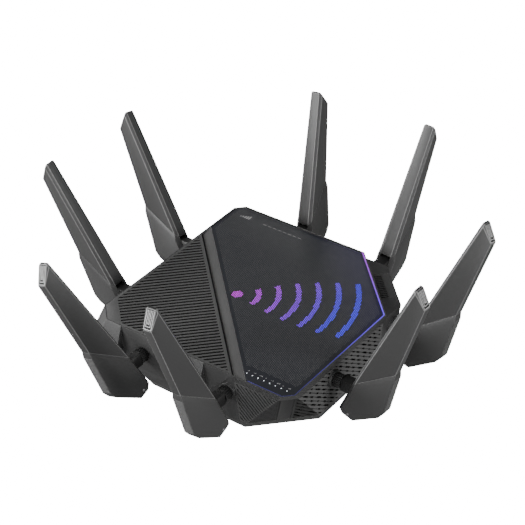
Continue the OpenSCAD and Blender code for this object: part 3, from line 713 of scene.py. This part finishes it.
def jack_contacts(x, back):
    """Eight contacts of a network socket: each an upright blade at the back and a leaning spring."""
    shapes = []
    for k in range(JACK_CONTACTS):
        at = x + (k - (JACK_CONTACTS - 1) / 2) * CONTACT_PITCH
        shapes.append(block((at - CONTACT_HALF, back - 0.3, JACK_BOTTOM + 2.6),
                            (at + CONTACT_HALF, back + 0.5, JACK_BOTTOM + 8.6)))
        shapes.append(prism([[0, 0], [9.0, 2.4], [9.0, 2.8], [0, 0.5]], 2 * CONTACT_HALF,
                            (at + CONTACT_HALF, back - 0.2, JACK_BOTTOM + 3.2), (0, 1, 0), (0, 0, -1)))
    return shapes


def face_bar(x, half, z0, z1, proud, sunk=0.1):
    """A flat bar on the socket side, from z0 to z1 above the jacks' bottom, partly sunk in."""
    return block((x - half, SOCKET_FACE - sunk, JACK_BOTTOM + z0),
                 (x + half, SOCKET_FACE + proud, JACK_BOTTOM + z1))


def inlet_ring():
    """A thin printed ring round the power inlet, made of short pieces between two circles."""
    outer, inner = ring(5.6, RING_STEPS), ring(5.1, RING_STEPS)
    shapes = []
    for k in range(RING_STEPS):
        after = (k + 1) % RING_STEPS
        corners = [[-p[0], p[1]] for p in (outer[k], outer[after], inner[after], inner[k])]
        shapes.append(prism(corners, 0.1 + INK_PROUD, INLET - (0, 0.1, 0), (-1, 0, 0), (0, 0, 1)))
    return shapes


def make_sockets():
    """What shows in and around the sockets: contacts, link lights and plain printed marks."""
    contacts, green, amber, marks = [], [], [], []
    for i, x in enumerate(JACK_X):
        contacts += jack_contacts(x, SOCKET_FACE - JACK_DEPTH + JACK_BACK_WALL)
        green.append(face_bar(x - LINK_LIGHT_OFF, 1.1, 11.2, 12.6, 0.15, 0.2))
        amber.append(face_bar(x + LINK_LIGHT_OFF, 1.1, 11.2, 12.6, 0.15, 0.2))
        bars = len(JACK_X) - i
        marks += [face_bar(x + (k - (bars - 1) / 2) * 1.6, 0.35, 15.4, 17.4, INK_PROUD) for k in range(bars)]
    for x in USB_X:
        for k in range(USB_CONTACTS):
            at = x + (k - (USB_CONTACTS - 1) / 2) * 2.5
            contacts.append(block((at - 0.5, USB_TONGUE_Y + 2, USB_TONGUE_TOP - 0.12),
                                  (at + 0.5, USB_TONGUE_Y + 12.2, USB_TONGUE_TOP + 0.1)))
        marks.append(face_bar(x, 3.5, 12.2, 12.8, INK_PROUD))
    marks += inlet_ring()
    piece("socket_contacts", *stack(contacts), CONTACT_GOLD, BODY_OF["ethernet_jacks"], "shell")
    piece("link_lights_green", *stack(green), LIGHT_GREEN, BODY_OF["ethernet_jacks"], "led")
    piece("link_lights_amber", *stack(amber), LIGHT_AMBER, BODY_OF["ethernet_jacks"], "led")
    piece("socket_marks", *stack(marks), PRINT_INK, BODY_OF["port_plate"], "coal")


def make_underside():
    """A printed frame with plain bars in it, on the bottom between the feet."""
    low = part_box("bottom_case")[0].z / MM
    width, depth, line = 34, 22, 0.6
    rows = [(-width, -depth, width, line - depth), (-width, depth - line, width, depth),
            (-width, line - depth, line - width, depth - line),
            (width - line, line - depth, width, depth - line)]
    rows += [(-29, 15 - 6 * k, 20 - 7 * (k % 3), 15.9 - 6 * k) for k in range(6)]
    shapes = [block((x0, y0, low - 0.05), (x1, y1, low + 0.05)) for x0, y0, x1, y1 in rows]
    piece("underside_mark", *stack(shapes), PRINT_INK, BODY_OF["bottom_case"], "slate")


PLAIN = {
    "light_guide": EDGE_LIGHT, "led_board": BOARD, "main_board": BOARD, "heat_sink": SINK_METAL,
    "shield_cans": SOCKET_STEEL, "chips": CHIP_PLASTIC, "case_screws": SCREW_STEEL,
    "board_pillars": PILLAR_BRASS, "antenna_leads": HINGE_PLASTIC, "led_matrix": STATUS_LIGHT,
    "status_leds": STATUS_LIGHT, "power_switch": HINGE_PLASTIC, "reset_button": HINGE_PLASTIC,
    "pairing_button": HINGE_PLASTIC,
}


def give_finishes():
    for name, material in PLAIN.items():
        for slot in NODES[name].material_slots:
            slot.material = material


def make_floor():
    f = Finish("floor_white", Roughness=0.6, Specular_IOR_Level=0.2, Emission_Strength=16.0)
    f.shader.inputs["Emission Color"].default_value = (1, 1, 1, 1)
    f.set("Base Color", f.blend(f.noise(3.0), (0.86, 0.86, 0.86, 1), (0.88, 0.88, 0.88, 1)))
    mesh = bpy.data.meshes.new("floor")
    mesh.from_pydata([(-6, -6, 0), (6, -6, 0), (6, 6, 0), (-6, 6, 0)], [], [(0, 1, 2, 3)])
    mesh.materials.append(f.material)
    floor = bpy.data.objects.new("floor", mesh)
    scene.collection.objects.link(floor)
    floor.visible_diffuse = False
    floor.visible_glossy = False


make_camera()
make_studio()
make_floor()
give_finishes()
make_case()
make_sockets()
make_underside()
make_light_panel()
make_antennas()
